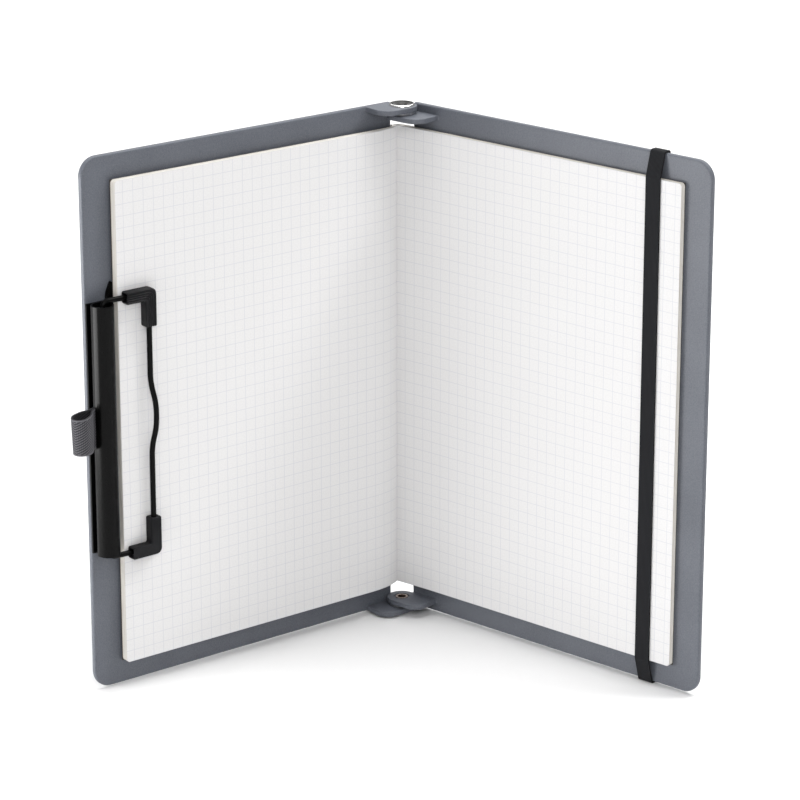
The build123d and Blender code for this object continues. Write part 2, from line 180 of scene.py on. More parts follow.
def grid_shell(rows, columns, index):
    """Faces of a thin shell. index(row, column, layer) numbers its vertices, layers 0 and 1."""
    faces = []
    for r in range(rows - 1):
        for c in range(columns - 1):
            n = c + 1
            faces.append([index(r, c, 0), index(r, n, 0), index(r + 1, n, 0), index(r + 1, c, 0)])
            faces.append([index(r, c, 1), index(r + 1, c, 1), index(r + 1, n, 1), index(r, n, 1)])
    for c in range(columns - 1):
        n = c + 1
        for r in (0, rows - 1):
            faces.append([index(r, c, 0), index(r, c, 1), index(r, n, 1), index(r, n, 0)])
    for r in range(rows - 1):
        for c in (0, columns - 1):
            faces.append([index(r, c, 0), index(r + 1, c, 0), index(r + 1, c, 1), index(r, c, 1)])
    return faces


def ring_shell(rows, columns, index):
    """Faces of a thin shell whose rows run round into a ring, with no wall at the join."""
    walls = set()
    for c in range(columns - 1):
        walls.add(tuple(sorted(index(0, column, layer) for column in (c, c + 1) for layer in (0, 1))))
    return [face for face in grid_shell(rows + 1, columns, index) if tuple(sorted(face)) not in walls]


def tube_faces(rings, sides):
    """Faces of a tube of rings of vertices, closed at both ends."""
    faces = []
    for r in range(rings - 1):
        for c in range(sides):
            n = (c + 1) % sides
            faces.append([r * sides + c, r * sides + n, (r + 1) * sides + n, (r + 1) * sides + c])
    faces.append(list(range(sides)))
    faces.append([(rings - 1) * sides + c for c in reversed(range(sides))])
    return faces


# ---------------------------------------------------------------- material helpers

def start_material(name):
    """A new node material and its shader."""
    material = bpy.data.materials.new(name)
    material.use_nodes = True
    return material, material.node_tree, material.node_tree.nodes["Principled BSDF"]


def node(tree, kind, inputs=(), **settings):
    """A node with its settings, constants and links."""
    made = tree.nodes.new(kind)
    for key, value in settings.items():
        setattr(made, key, value)
    for key, value in dict(inputs).items():
        if isinstance(value, bpy.types.NodeSocket):
            tree.links.new(value, made.inputs[key])
        else:
            made.inputs[key].default_value = value
    return made


def maths(tree, operation, first, second=0.0):
    """A maths node's result."""
    return node(tree, "ShaderNodeMath", {0: first, 1: second}, operation=operation).outputs[0]


def object_place(tree):
    """Object coordinates, which a CAD node keeps in every pose."""
    return node(tree, "ShaderNodeTexCoord").outputs["Object"]


def pattern_place(tree):
    """The place on the flat pattern that the mesh carries."""
    return node(tree, "ShaderNodeAttribute", attribute_name="place").outputs["Vector"]


def noise(tree, place, size, detail=3.0, roughness=0.5):
    """Noise with features of about the given size."""
    made = node(tree, "ShaderNodeTexNoise", {"Vector": place, "Scale": 1 / size, "Detail": detail,
                                             "Roughness": roughness})
    return made.outputs["Fac"]


def ramp(tree, factor, stops):
    """A colour ramp from (position, colour) stops."""
    made = node(tree, "ShaderNodeValToRGB", {"Fac": factor})
    elements = made.color_ramp.elements
    while len(elements) < len(stops):
        elements.new(0.5)
    for element, (position, colour) in zip(elements, stops):
        element.position = position
        element.color = (*colour, 1)
    return made.outputs["Color"]


def grey(value):
    """A neutral colour."""
    return (value, value, value)


def bump(tree, shader, height, strength, distance, after=None):
    """Bump on a shader, added to an earlier one."""
    inputs = {"Height": height, "Strength": strength, "Distance": distance}
    if after is not None:
        inputs["Normal"] = after
    made = node(tree, "ShaderNodeBump", inputs)
    tree.links.new(made.outputs["Normal"], shader.inputs["Normal"])
    return made.outputs["Normal"]


def link(tree, output, shader, name):
    """Feeds a shader's socket."""
    tree.links.new(output, shader.inputs[name])


def set_values(shader, **values):
    """Constants on a shader's own sockets, with spaces written as underscores."""
    for key, value in values.items():
        shader.inputs[key.replace("_", " ")].default_value = value


# ---------------------------------------------------------------- materials

SQUARE = 5.0 * MM
LINE = 0.22 * MM
LEFT_MARGIN = 3.75 * MM
RIGHT_MARGIN = 3.0 * MM
# Radius at the far end of the colour ramps of the hinge rivets
RIVET_SPAN = 6.0 * MM


def cover_plastic():
    """Moulded grey plastic with a fine spark-eroded grain and soft clouding."""
    material, tree, shader = start_material("cover_plastic")
    place = object_place(tree)
    grain = noise(tree, place, 0.45 * MM, 4.0, 0.6)
    cloud = noise(tree, place, 28 * MM, 2.0)
    fine, broad = maths(tree, "MULTIPLY", grain, 0.75), maths(tree, "MULTIPLY", cloud, 0.25)
    blotch = maths(tree, "ADD", fine, broad)
    low, high = (0.078, 0.086, 0.105), (0.140, 0.150, 0.174)
    link(tree, ramp(tree, blotch, [(0.32, low), (0.68, high)]), shader, "Base Color")
    rough = node(tree, "ShaderNodeMapRange", {"Value": grain, "To Min": 0.42, "To Max": 0.62})
    link(tree, rough.outputs["Result"], shader, "Roughness")
    first = bump(tree, shader, grain, 0.35, 0.12 * MM)
    bump(tree, shader, cloud, 0.1, 0.6 * MM, first)
    return material


def plated_metal(name, colour, roughness, streak):
    """Plated metal with fine drawn marks."""
    material, tree, shader = start_material(name)
    place = object_place(tree)
    stretch = node(tree, "ShaderNodeMapping", {"Vector": place, "Scale": (1, 1, streak)})
    marks = noise(tree, stretch.outputs["Vector"], 0.35 * MM, 4.0)
    dim = tuple(0.82 * c for c in colour)
    link(tree, ramp(tree, marks, [(0.3, dim), (0.7, colour)]), shader, "Base Color")
    spread = node(tree, "ShaderNodeMapRange", {"Value": marks, "To Min": roughness * 0.7,
                                               "To Max": roughness * 1.5})
    link(tree, spread.outputs["Result"], shader, "Roughness")
    set_values(shader, Metallic=1.0)
    bump(tree, shader, marks, 0.12, 0.03 * MM)
    return material


def rivet_metal(name, rolled_end, rolled_shine):
    """Bright plating on the flared lip, and painted shade: a near-black, non-metal band from 2.8 to
    4.7 mm radius stands for the shade inside the tube and in the recess round the rolled end. The
    centre, within 2.5 mm, takes the given colour and metalness."""
    material, tree, shader = start_material(name)
    place = object_place(tree)
    split = node(tree, "ShaderNodeSeparateXYZ", {"Vector": place})
    squares = [maths(tree, "POWER", maths(tree, "ABSOLUTE", split.outputs[k]), 2.0) for k in "XY"]
    radius = maths(tree, "SQRT", maths(tree, "ADD", *squares))
    share = maths(tree, "DIVIDE", radius, RIVET_SPAN)
    # The near-black stops from 0.46 to 0.78 are painted shade; the bright stop from 0.86 is the plated
    # lip.
    stops = [(0.33, rolled_end), (0.42, rolled_end), (0.46, grey(0.02)), (0.78, grey(0.04)),
             (0.86, grey(0.9))]
    colour = ramp(tree, share, stops)
    scratch = noise(tree, place, 0.3 * MM, 4.0)
    mixed = node(tree, "ShaderNodeMix", {"Factor": 0.08, "A": colour, "B": ramp(tree, scratch, [
        (0.35, grey(0.05)), (0.7, grey(0.7))])}, data_type="RGBA")
    link(tree, mixed.outputs["Result"], shader, "Base Color")
    spread = node(tree, "ShaderNodeMapRange", {"Value": scratch, "To Min": 0.1, "To Max": 0.26})
    link(tree, spread.outputs["Result"], shader, "Roughness")
    bare = ramp(tree, share, [(0.42, grey(rolled_shine)), (0.46, grey(0)), (0.74, grey(0)),
                              (0.8, grey(1))])
    link(tree, bare, shader, "Metallic")
    set_values(shader, Specular_IOR_Level=0.15)
    bump(tree, shader, scratch, 0.15, 0.03 * MM)
    return material


def enamel(name, roughness, coat, ripple):
    """Black stove enamel over steel, with slight orange peel and dust specks."""
    material, tree, shader = start_material(name)
    place = object_place(tree)
    peel = noise(tree, place, 2.2 * MM, 2.0)
    speck = noise(tree, place, 0.25 * MM, 2.0)
    link(tree, ramp(tree, speck, [(0.45, grey(0.001)), (0.8, grey(0.004))]), shader, "Base Color")
    spread = node(tree, "ShaderNodeMapRange", {"Value": speck, "To Min": roughness * 0.8,
                                               "To Max": roughness * 1.4})
    link(tree, spread.outputs["Result"], shader, "Roughness")
    set_values(shader, Specular_IOR_Level=0.08, Coat_Weight=coat, Coat_Roughness=0.12)
    bump(tree, shader, peel, ripple, 0.05 * MM)
    return material


def guard_rubber():
    """Matt black rubber with moulding grain."""
    material, tree, shader = start_material("guard_rubber")
    place = object_place(tree)
    grain = noise(tree, place, 0.3 * MM, 3.0)
    bloom = noise(tree, place, 4 * MM, 2.0)
    mix = maths(tree, "MULTIPLY", maths(tree, "ADD", grain, bloom), 0.5)
    link(tree, ramp(tree, mix, [(0.35, (0.004, 0.004, 0.005)), (0.7, (0.010, 0.010, 0.012))]), shader,
         "Base Color")
    set_values(shader, Specular_IOR_Level=0.2)
    spread = node(tree, "ShaderNodeMapRange", {"Value": bloom, "To Min": 0.38, "To Max": 0.6})
    link(tree, spread.outputs["Result"], shader, "Roughness")
    bump(tree, shader, grain, 0.3, 0.05 * MM)
    return material


def paper(name, margin):
    """Uncoated paper: fibre flecks, and pale squares from a margin on, if there is one. The pattern
    place is (distance from the fore edge, leaf's tint, height)."""
    material, tree, shader = start_material(name)
    place = pattern_place(tree)
    split = node(tree, "ShaderNodeSeparateXYZ", {"Vector": place})
    across, tint, height = (split.outputs[k] for k in "XYZ")
    flat = node(tree, "ShaderNodeCombineXYZ", {"X": across, "Z": height}).outputs[0]
    fibre = noise(tree, flat, 0.7 * MM, 5.0, 0.65)
    cloud = noise(tree, flat, 16 * MM, 2.0)
    white = ramp(tree, fibre, [(0.3, (0.73, 0.722, 0.72)), (0.7, (0.79, 0.785, 0.785))])
    if margin:
        lines = None
        for line_place, offset in ((across, margin), (height, PAGE_BOTTOM)):
            shifted = maths(tree, "SUBTRACT", line_place, offset)
            wave = maths(tree, "PINGPONG", shifted, SQUARE / 2)
            on = node(tree, "ShaderNodeMapRange", {
                "Value": wave, "From Min": LINE * 0.35, "From Max": LINE * 0.65,
                "To Min": 1.0, "To Max": 0.0}).outputs["Result"]
            lines = on if lines is None else maths(tree, "MAXIMUM", lines, on)
        strength = node(tree, "ShaderNodeMapRange", {
            "Value": fibre, "From Min": 0.3, "From Max": 0.7,
            "To Min": 0.34, "To Max": 0.5}).outputs["Result"]
        ink = maths(tree, "MULTIPLY", lines, strength)
        mixed = node(tree, "ShaderNodeMix", {"Factor": ink, "A": white, "B": (0.46, 0.48, 0.56, 1)},
                     data_type="RGBA")
        colour = mixed.outputs["Result"]
    else:
        edge = ramp(tree, tint, [(0.0, (0.62, 0.57, 0.48)), (0.35, (0.72, 0.68, 0.6)),
                                 (1.0, (0.86, 0.84, 0.8))])
        mixed = node(tree, "ShaderNodeMix", {"Factor": 0.7, "A": white, "B": edge}, data_type="RGBA")
        colour = mixed.outputs["Result"]
    link(tree, colour, shader, "Base Color")
    set_values(shader, Roughness=0.85, Specular_IOR_Level=0.25, Diffuse_Roughness=0.4)
    first = bump(tree, shader, fibre, 0.12, 0.05 * MM)
    bump(tree, shader, cloud, 0.1, 0.5 * MM, first)
    return material


def card_board():
    """Dark brown-grey cover card with long fibres."""
    material, tree, shader = start_material("card")
    place = pattern_place(tree)
    stretch = node(tree, "ShaderNodeMapping", {"Vector": place, "Scale": (1, 1, 0.35)})
    fibre = noise(tree, stretch.outputs["Vector"], 0.8 * MM, 5.0, 0.7)
    link(tree, ramp(tree, fibre, [(0.3, (0.045, 0.038, 0.034)), (0.7, (0.095, 0.083, 0.074))]), shader,
         "Base Color")
    set_values(shader, Roughness=0.8, Specular_IOR_Level=0.3)
    bump(tree, shader, fibre, 0.3, 0.08 * MM)
    return material


def woven(name, dark, light, rib=None, pick=None):
    """Woven elastic. The pattern place is (across, height of the relief, along): the relief shows
    where it is modelled, and ribs and picks of the given pitch are drawn where it is not."""
    material, tree, shader = start_material(name)
    place = pattern_place(tree)
    split = node(tree, "ShaderNodeSeparateXYZ", {"Vector": place})
    weave = split.outputs["Y"]
    if rib:
        ribs = maths(tree, "DIVIDE", maths(tree, "PINGPONG", split.outputs["X"], rib / 2), rib / 2)
        picks = maths(tree, "DIVIDE", maths(tree, "PINGPONG", split.outputs["Z"], pick / 2), pick / 2)
        shallow = maths(tree, "ADD", maths(tree, "MULTIPLY", picks, 0.5), 0.5)
        weave = maths(tree, "MULTIPLY", ribs, shallow)
    fuzz = noise(tree, place, 0.3 * MM, 4.0, 0.7)
    relief, hairs = maths(tree, "MULTIPLY", weave, 0.7), maths(tree, "MULTIPLY", fuzz, 0.3)
    mix = maths(tree, "ADD", relief, hairs)
    link(tree, ramp(tree, mix, [(0.15, dark), (0.75, light)]), shader, "Base Color")
    set_values(shader, Roughness=0.88, Specular_IOR_Level=0.25, Sheen_Weight=0.06, Sheen_Roughness=0.4)
    first = bump(tree, shader, weave, 0.6, 0.12 * MM)
    bump(tree, shader, fuzz, 0.4, 0.06 * MM, first)
    return material


def bush_plastic():
    """Black turned plastic."""
    material, tree, shader = start_material("bush_plastic")
    rings = noise(tree, object_place(tree), 0.4 * MM, 3.0)
    link(tree, ramp(tree, rings, [(0.3, grey(0.012)), (0.7, grey(0.022))]), shader, "Base Color")
    set_values(shader, Roughness=0.5)
    bump(tree, shader, rings, 0.2, 0.03 * MM)
    return material


cover_finish = cover_plastic()
# Upper rivet: its centre is near-black too, so the whole inside of its tube is painted shade. Lower
# rivet: a metal rolled end, with painted shade in the ring round it.
rivet_chrome_and_painted_shade_finish = rivet_metal("rivet_chrome", grey(0.02), 0)
rolled_end_and_painted_shade_finish = rivet_metal("rivet_rolled_end_painted_shade", (0.8, 0.66, 0.58), 1)
steel_finish = plated_metal("spring_steel", (0.62, 0.62, 0.64), 0.28, 0.2)
clip_finish = enamel("clip_enamel", 0.26, 0.05, 0.25)
wire_finish = enamel("wire_enamel", 0.34, 0.03, 0.15)
rubber_finish = guard_rubber()
bush_finish = bush_plastic()
inner_paper = paper("paper_plain", None)
left_paper = paper("paper_ruled_left", LEFT_MARGIN)
right_paper = paper("paper_ruled_right", RIGHT_MARGIN)
card_finish = card_board()
band_finish = woven("band_elastic", (0.004, 0.004, 0.005), (0.015, 0.016, 0.019), 0.62 * MM, 0.5 * MM)
loop_finish = woven("loop_weave", (0.008, 0.008, 0.010), (0.130, 0.128, 0.140))

NODE_FINISHES = {
    "left_cover": cover_finish, "right_cover": cover_finish,
    "lower_hinge_rivet": rolled_end_and_painted_shade_finish, "upper_hinge_rivet": rivet_chrome_and_painted_shade_finish,
    "lower_hinge_washer": steel_finish, "upper_hinge_washer": steel_finish,
    "clip_base_plate": clip_finish, "clip_rivets": steel_finish, "bail_wire": wire_finish,
    "upper_torsion_spring": steel_finish, "lower_torsion_spring": steel_finish,
    "upper_spring_anchor": steel_finish, "lower_spring_anchor": steel_finish,
    "upper_barrel_bush": bush_finish, "lower_barrel_bush": bush_finish,
    "pen_loop_pin": steel_finish,
}
for name, finish in NODE_FINISHES.items():
    nodes[name].data.materials.clear()
    nodes[name].data.materials.append(finish)


# ---------------------------------------------------------------- notebook

PAGE_EDGE = 146.6 * MM
PAGE_CORNER = 1.5 * MM
LEAF_PITCH = 0.117 * MM
LEAF = 0.1 * MM
FLAT_TO = 15 * MM
CARD = 0.35 * MM
LEFT_STACK = (1.15 * MM, 4.6 * MM)
RIGHT_STACK = (0.35 * MM, 2.7 * MM)
# Places on the binding in leaf plan: the open crease, and the far end of each stack's spine
LEFT_CREASE = Vector((-2.55, 0.39)) * MM
LEFT_SPINE_END = Vector((-1.2, -2.0)) * MM
RIGHT_CREASE = Vector((-6.07, 3.35)) * MM
RIGHT_SPINE_END = Vector((-5.63, 0.76)) * MM
# How a leaf leaves the binding, in millimetres: its first handle, and where it reaches its height
LEFT_PAGE_HANDLE = Vector((4.2, 2.7))
LEFT_CARD_HANDLE = Vector((0.3, 3.4))
RIGHT_HANDLE = Vector((5.0, -0.1))
PAGE_EASE = 7.0
LEFT_CARD_EASE = 3.0
CURVE_POINTS = 14
# Points along the flat part of a leaf, between the bend and the fore edge
FLAT_POINTS = (50 * MM, 100 * MM)
# Angles round a leaf's outer corners, in degrees
CORNER_ANGLES = (12, 30, 50, 70, 90)
# How far single leaves lie out of line
FORE_EDGE_JOG = 0.22 * MM
HEIGHT_SLIP = 0.12 * MM


def stack_line(side, share, flat_height, edge, shrink=0.0):
    """Plan of one leaf from fore edge to spine. share is 0 on the open page and 1 at the card."""
    if side == LEFT:
        spine = LEFT_CREASE.lerp(LEFT_SPINE_END, share)
        handle = LEFT_PAGE_HANDLE.lerp(LEFT_CARD_HANDLE, share) * MM
        ease = PAGE_EASE - (PAGE_EASE - LEFT_CARD_EASE) * share
    else:
        spine = RIGHT_CREASE.lerp(RIGHT_SPINE_END, share)
        handle = RIGHT_HANDLE * MM
        ease = PAGE_EASE
    flat = Vector((FLAT_TO, flat_height))
    curve = bezier(spine, spine + handle, Vector((ease * MM, flat_height)), flat, CURVE_POINTS)
    stops = (*FLAT_POINTS, edge - PAGE_CORNER - shrink, edge - shrink)
    straight = [Vector((x, flat_height)) for x in stops]
    return list(reversed(curve + straight))


def sheet_mesh(side, line, thickness, low, high, places, tint):
    """Points, faces and pattern places of one leaf with round outer corners."""
    turn = leaf_matrix(side)
    angles = [math.radians(a) for a in CORNER_ANGLES]
    rises = [PAGE_CORNER * (1 - math.cos(a)) for a in angles]
    insets = [PAGE_CORNER * (1 - math.sin(a)) for a in angles]
    levels = [low + r for r in rises] + [high - r for r in reversed(rises)]
    cuts = insets + insets[::-1]
    levels[0], levels[-1] = low, high
    normals = normals_of(line, False)
    runs = lengths_of(line)
    columns = len(line)
    start = len(places)
    points = []
    for z, cut in zip(levels, cuts):
        for c, (point, normal) in enumerate(zip(line, normals)):
            at = point - Vector((cut, 0)) if c == 0 else point
            for layer in (-0.5, 0.5):
                shifted = at + normal * (thickness * layer)
                points.append(turn @ Vector((shifted.x, shifted.y, z)))
                places.append((runs[c] + (cut if c == 0 else 0), tint, z))

    def index(row, column, layer):
        return start + (row * columns + column) * 2 + layer

    return points, grid_shell(len(levels), columns, index)


def leaf_stack(name, side, stack, ruled, plain, node_name, seed):
    """The leaves of one half: an open ruled page and the plain leaves under it."""
    dice = random.Random(seed)
    count = int((stack[1] - stack[0]) / LEAF_PITCH)
    points, faces, places = [], [], []
    top_piece = None
    for k in range(count):
        share = k / (count - 1)
        height = stack[1] - LEAF / 2 - k * (stack[1] - stack[0] - LEAF) / (count - 1)
        jog = dice.uniform(0, FORE_EDGE_JOG) if k else 0.0
        slip = dice.uniform(0, HEIGHT_SLIP) if k else 0.0
        line = stack_line(side, share, height, PAGE_EDGE, jog)
        if k == 0:
            own = []
            made = sheet_mesh(side, line, LEAF, PAGE_BOTTOM, PAGE_TOP, own, 1.0)
            top_piece = piece(name + "_open_page", *made, ruled)
            store_places(top_piece, own)
        else:
            more, extra = sheet_mesh(side, line, LEAF, PAGE_BOTTOM + slip, PAGE_TOP - slip, places,
                                     dice.random())
            points += more
            faces += extra
    rest = piece(name + "_leaves", points, faces, plain)
    store_places(rest, places)
    for obj in (top_piece, rest):
        sharpen(obj, 50)
        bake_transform(obj)
    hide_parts(node_name)


def cover_card():
    """One card round the notebook: front, spine and back."""
    down = LEAF / 2 + CARD / 2
    left = stack_line(LEFT, 1.0, LEFT_STACK[0] + LEAF / 2, PAGE_EDGE)
    right = stack_line(RIGHT, 1.0, RIGHT_STACK[0] + LEAF / 2, PAGE_EDGE)
    halves = []
    for side, line in ((LEFT, left), (RIGHT, right)):
        normals = normals_of(line, False)
        lift = 1 if normals[0].y < 0 else -1
        under = [p + n * (lift * down) for p, n in zip(line, normals)]
        halves.append([plan_point(side, p.x, p.y) for p in under])
    line = halves[0] + halves[1][::-1]
    normals = normals_of(line, False)
    runs = lengths_of(line)
    low, high = PAGE_BOTTOM, PAGE_TOP
    levels = [low, (low + high) / 2, high]
    points, places = [], []
    for z in levels:
        for point, normal, run in zip(line, normals, runs):
            for layer in (-0.5, 0.5):
                at = point + normal * (CARD * layer)
                points.append((at.x, at.y, z))
                places.append((run, 0.0, z))

    def index(row, column, layer):
        return (row * len(line) + column) * 2 + layer

    faces = grid_shell(len(levels), len(line), index)
    made = piece("notebook_cover_card", points, faces, card_finish)
    store_places(made, places)
    sharpen(made, 50)
    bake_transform(made)
    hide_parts("notebook_front_cover", "notebook_back_cover")


leaf_stack("notebook_left", LEFT, LEFT_STACK, left_paper, inner_paper, "notebook_left_pages", 3)
leaf_stack("notebook_right", RIGHT, RIGHT_STACK, right_paper, inner_paper, "notebook_right_pages", 8)
cover_card()


# ---------------------------------------------------------------- elastic band

BAND_WIDTH = 7.5 * MM
BAND_THICKNESS = 0.8 * MM
BAND_MIDDLE = OUTER_EDGE - 27.2 * MM
BAND_RIBS = 12
BAND_RIB_DEPTH = 0.06 * MM
COVER = 2.5 * MM
SKIN = 0.1 * MM
# Height where the band turns from the cover's edge towards the pages, and the spacing of its points
BAND_TURN = 0.3 * MM
BAND_STEP = 4.0 * MM


def ribbon(name, line, closed, body):
    """The woven band along a line in the right leaf's (y, z) plane, with lengthwise ribs."""
    turn = leaf_matrix(RIGHT)
    normals = normals_of(line, closed)
    runs = lengths_of(line)
    steps = BAND_RIBS * 4
    points, places = [], []
    for at, normal, run in zip(line, normals, runs):
        for c in range(steps + 1):
            u = c / steps
            across = (u - 0.5) * BAND_WIDTH
            edge = min(1.0, 4 * min(u, 1 - u) * BAND_RIBS / 2)
            swell = (BAND_THICKNESS / 2 - BAND_RIB_DEPTH) * (0.55 + 0.45 * math.sqrt(edge))
            swell += BAND_RIB_DEPTH * 0.5 * (1 - math.cos(2 * math.pi * BAND_RIBS * u))
            for layer in (-1, 1):
                out = at + normal * (layer * swell)
                points.append(turn @ Vector((BAND_MIDDLE + across, out.x, out.y)))
                places.append((across, 0.0, run))
    rows, columns = len(line), steps + 1

    def index(row, column, layer):
        return ((row % rows) * columns + column) * 2 + layer

    shell = ring_shell if closed else grid_shell
    made = piece(name, points, shell(rows, columns, index), band_finish)
    store_places(made, places)
    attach(made, body)
    return made


def band_line():
    """Middle line of the band round the right cover and its pages, in (y, z)."""
    half = BAND_THICKNESS / 2
    front = RIGHT_STACK[1] + SKIN + half
    back = -COVER - SKIN - half
    high, low = COVER_TOP + SKIN + half, COVER_BOTTOM - SKIN - half
    corners = [(back, low), (BAND_TURN, low), (front, PAGE_BOTTOM - half), (front, PAGE_TOP + half),
               (BAND_TURN, high), (back, high)]
    radii = [0.6, 0.9, 2.5, 2.5, 0.9, 0.6]
    line = rounded_line([Vector(c) for c in corners], [r * MM for r in radii], True)
    return spaced(line, BAND_STEP, True)


band = ribbon("elastic_band_web", band_line(), True, "band")
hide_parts("elastic_band")

LAP_HALF = 7.0 * MM
LAP_STEP = 1.0 * MM
SEAM_INSET = 2.2 * MM
SEAM_MARGIN = 1.0 * MM
STITCH_PITCH = 1.4 * MM
THREAD = 0.16 * MM
THREAD_SIDES = 6
THREAD_SHADE = 0.8
THREAD_SINK = 0.02 * MM


def thread_tube(name, line, radius, material, body):
    """A thin round thread through points."""
    points, places = [], []
    for i, (at, run) in enumerate(zip(line, lengths_of(line))):
        tangent = (line[min(i + 1, len(line) - 1)] - line[max(i - 1, 0)]).normalized()
        across = tangent.orthogonal().normalized()
        up = tangent.cross(across)
        for k in range(THREAD_SIDES):
            angle = 2 * math.pi * k / THREAD_SIDES
            points.append(at + radius * (math.cos(angle) * across + math.sin(angle) * up))
            places.append((0.0, THREAD_SHADE, run))
    made = piece(name, points, tube_faces(len(line), THREAD_SIDES), material)
    store_places(made, places)
    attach(made, body)
    return made


def band_lap():
    """The band's sewn overlap at the back: a second layer and two zigzag seams."""
    depth = -COVER - SKIN - 1.5 * BAND_THICKNESS
    ends = [Vector((depth, CLIP_MIDDLE + side * LAP_HALF)) for side in (-1, 1)]
    lap = ribbon("elastic_band_lap", spaced(ends, LAP_STEP, False), False, "band")
    turn = leaf_matrix(RIGHT)
    for name, side in (("upper", 1), ("lower", -1)):
        count = int(BAND_WIDTH / STITCH_PITCH * 2)
        seam = []
        for k in range(count + 1):
            x = BAND_MIDDLE + (k / count - 0.5) * (BAND_WIDTH - SEAM_MARGIN)
            z = CLIP_MIDDLE + side * (LAP_HALF - SEAM_INSET) + (k % 2 - 0.5) * STITCH_PITCH
            seam.append(turn @ Vector((x, depth - BAND_THICKNESS / 2 + THREAD_SINK, z)))
        stitches = thread_tube(name + "_band_stitches", seam, THREAD, loop_finish, "band")


band_lap()


# ---------------------------------------------------------------- pen loop

TAPE = 0.9 * MM
PIN = Vector((OUTER_EDGE - 4.2 * MM, 3.2 * MM))
LOOP_CENTRE = Vector((OUTER_EDGE + 8.3 * MM, 7.2 * MM))
LOOP_RADIUS = 4.0 * MM
LOOP_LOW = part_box("pen_loop")[0].z
LOOP_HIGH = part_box("pen_loop")[1].z
RIB_PITCH = 1.2 * MM
RIB_SLANT = 0.55
RIB_DEPTH = 0.17 * MM
KNIT_PITCH = 0.85 * MM
PIPING = 0.8 * MM
NARROWING = 0.06
DROOP = 0.15
LOOP_COLUMNS = 121
LOOP_STEP = 0.16 * MM
# Along the loop from the pin: the eye's radius and where it closes, where the flanks part, and how
# gently they leave the neck and meet the round end
EYE = 1.15 * MM
EYE_SWEEP = 140
EYE_EXIT = 2.2 * MM
OPEN_FROM = 4.6 * MM
FLANK_START = 7.8 * MM
FLANK_FINISH = 5.0 * MM
# Share of the relief on the loop's inner face. It also sets that face's colour much darker: painted shade
# inside the loop.
INNER_PAINTED_SHADE = 0.25


def loop_path():
    """Closed middle line of the tape, along and across its neck: pin eye, neck, S-shaped flanks."""
    reach = (LOOP_CENTRE - PIN).length
    radius = LOOP_RADIUS - TAPE / 2
    layer = TAPE / 2 + 0.01 * MM
    flank = bezier(Vector((OPEN_FROM, layer)), Vector((FLANK_START, layer)),
                   Vector((reach - FLANK_FINISH, radius)), Vector((reach, radius)), 24)
    eye_angles = [math.radians(180 - EYE_SWEEP * k / 10) for k in range(11)]
    eye_arc = [Vector((math.cos(a), math.sin(a))) * EYE for a in eye_angles]
    end_angles = [math.radians(90 * k / 14) for k in range(1, 15)]
    end_arc = [Vector((reach + radius * math.sin(a), radius * math.cos(a))) for a in end_angles]
    upper = eye_arc + [Vector((EYE_EXIT, layer))] + flank + end_arc
    lower = [Vector((p.x, -p.y)) for p in reversed(upper[1:-1])]
    return spaced(upper + lower, LOOP_STEP, True)


def pen_loop():
    """Knitted elastic tape with a herringbone that turns at the loop's outer end."""
    line = loop_path()
    axis = (LOOP_CENTRE - PIN).normalized()
    across = Vector((-axis.y, axis.x))
    normals = normals_of(line, True)
    runs = lengths_of(line)
    middle = runs[max(range(len(line)), key=lambda i: line[i].x)]
    turn = leaf_matrix(LEFT)
    width = LOOP_HIGH - LOOP_LOW
    points, places = [], []
    for at, normal, run in zip(line, normals, runs):
        for c in range(LOOP_COLUMNS):
            t = c / (LOOP_COLUMNS - 1)
            z = LOOP_LOW + width * t
            squeeze = 1 - NARROWING * (1 - t)
            far = max(0.0, at.x - OPEN_FROM)
            sag = DROOP * far * t
            spot = Vector((at.x - far * (1 - squeeze), at.y * (squeeze if far > 0 else 1.0)))
            rib = 0.5 + 0.5 * math.cos(2 * math.pi * (z - RIB_SLANT * abs(run - middle)) / RIB_PITCH)
            knit = 0.5 + 0.5 * math.cos(2 * math.pi * run / KNIT_PITCH)
            relief = rib * (0.55 + 0.45 * knit)
            border = min(t, 1 - t) * width
            if border < PIPING:
                relief = 0.25 + 0.75 * math.sin(math.pi * border / PIPING) * (0.6 + 0.4 * knit)
            # The inner face gets a quarter of the relief, which darkens its colour as painted shade.
            for layer, shade in ((-1, INNER_PAINTED_SHADE), (1, 1.0)):
                out = spot + normal * (layer * (TAPE / 2 - RIB_DEPTH + RIB_DEPTH * relief))
                plan = PIN + axis * out.x + across * out.y
                points.append(turn @ Vector((plan.x, plan.y, z - sag)))
                places.append((z, relief * shade, run))
    rows = len(line)

    def index(row, column, layer):
        return ((row % rows) * LOOP_COLUMNS + column) * 2 + layer

    made = piece("pen_loop_tape", points, ring_shell(rows, LOOP_COLUMNS, index), loop_finish)
    store_places(made, places)
    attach(made, "left_side")
    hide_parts("pen_loop")


pen_loop()


# ---------------------------------------------------------------- rubber corner guards

RUN_X = OUTER_EDGE - 26.8 * MM
RUN_Y = 7.0 * MM
ARM_SPACING = 111.2 * MM
GUARD_WIDTH, GUARD_DEPTH = 5.2 * MM, 4.7 * MM
GUARD_ARM, GUARD_LEG = 14.4 * MM, 16.5 * MM
GUARD_CORNER = 0.7 * MM
GUARD_EDGE = 0.35 * MM
OUTER_BEND = 2.6 * MM
INNER_BEND = 0.8 * MM
BEND_STEPS = 8
ARC_STEPS = 6
SIDE_STEPS = 6
FACE_STEPS = 40
RIDGE_SHARPNESS = 0.6
BORE = 1.2 * MM
SOCKET_DROP = 0.84 * MM


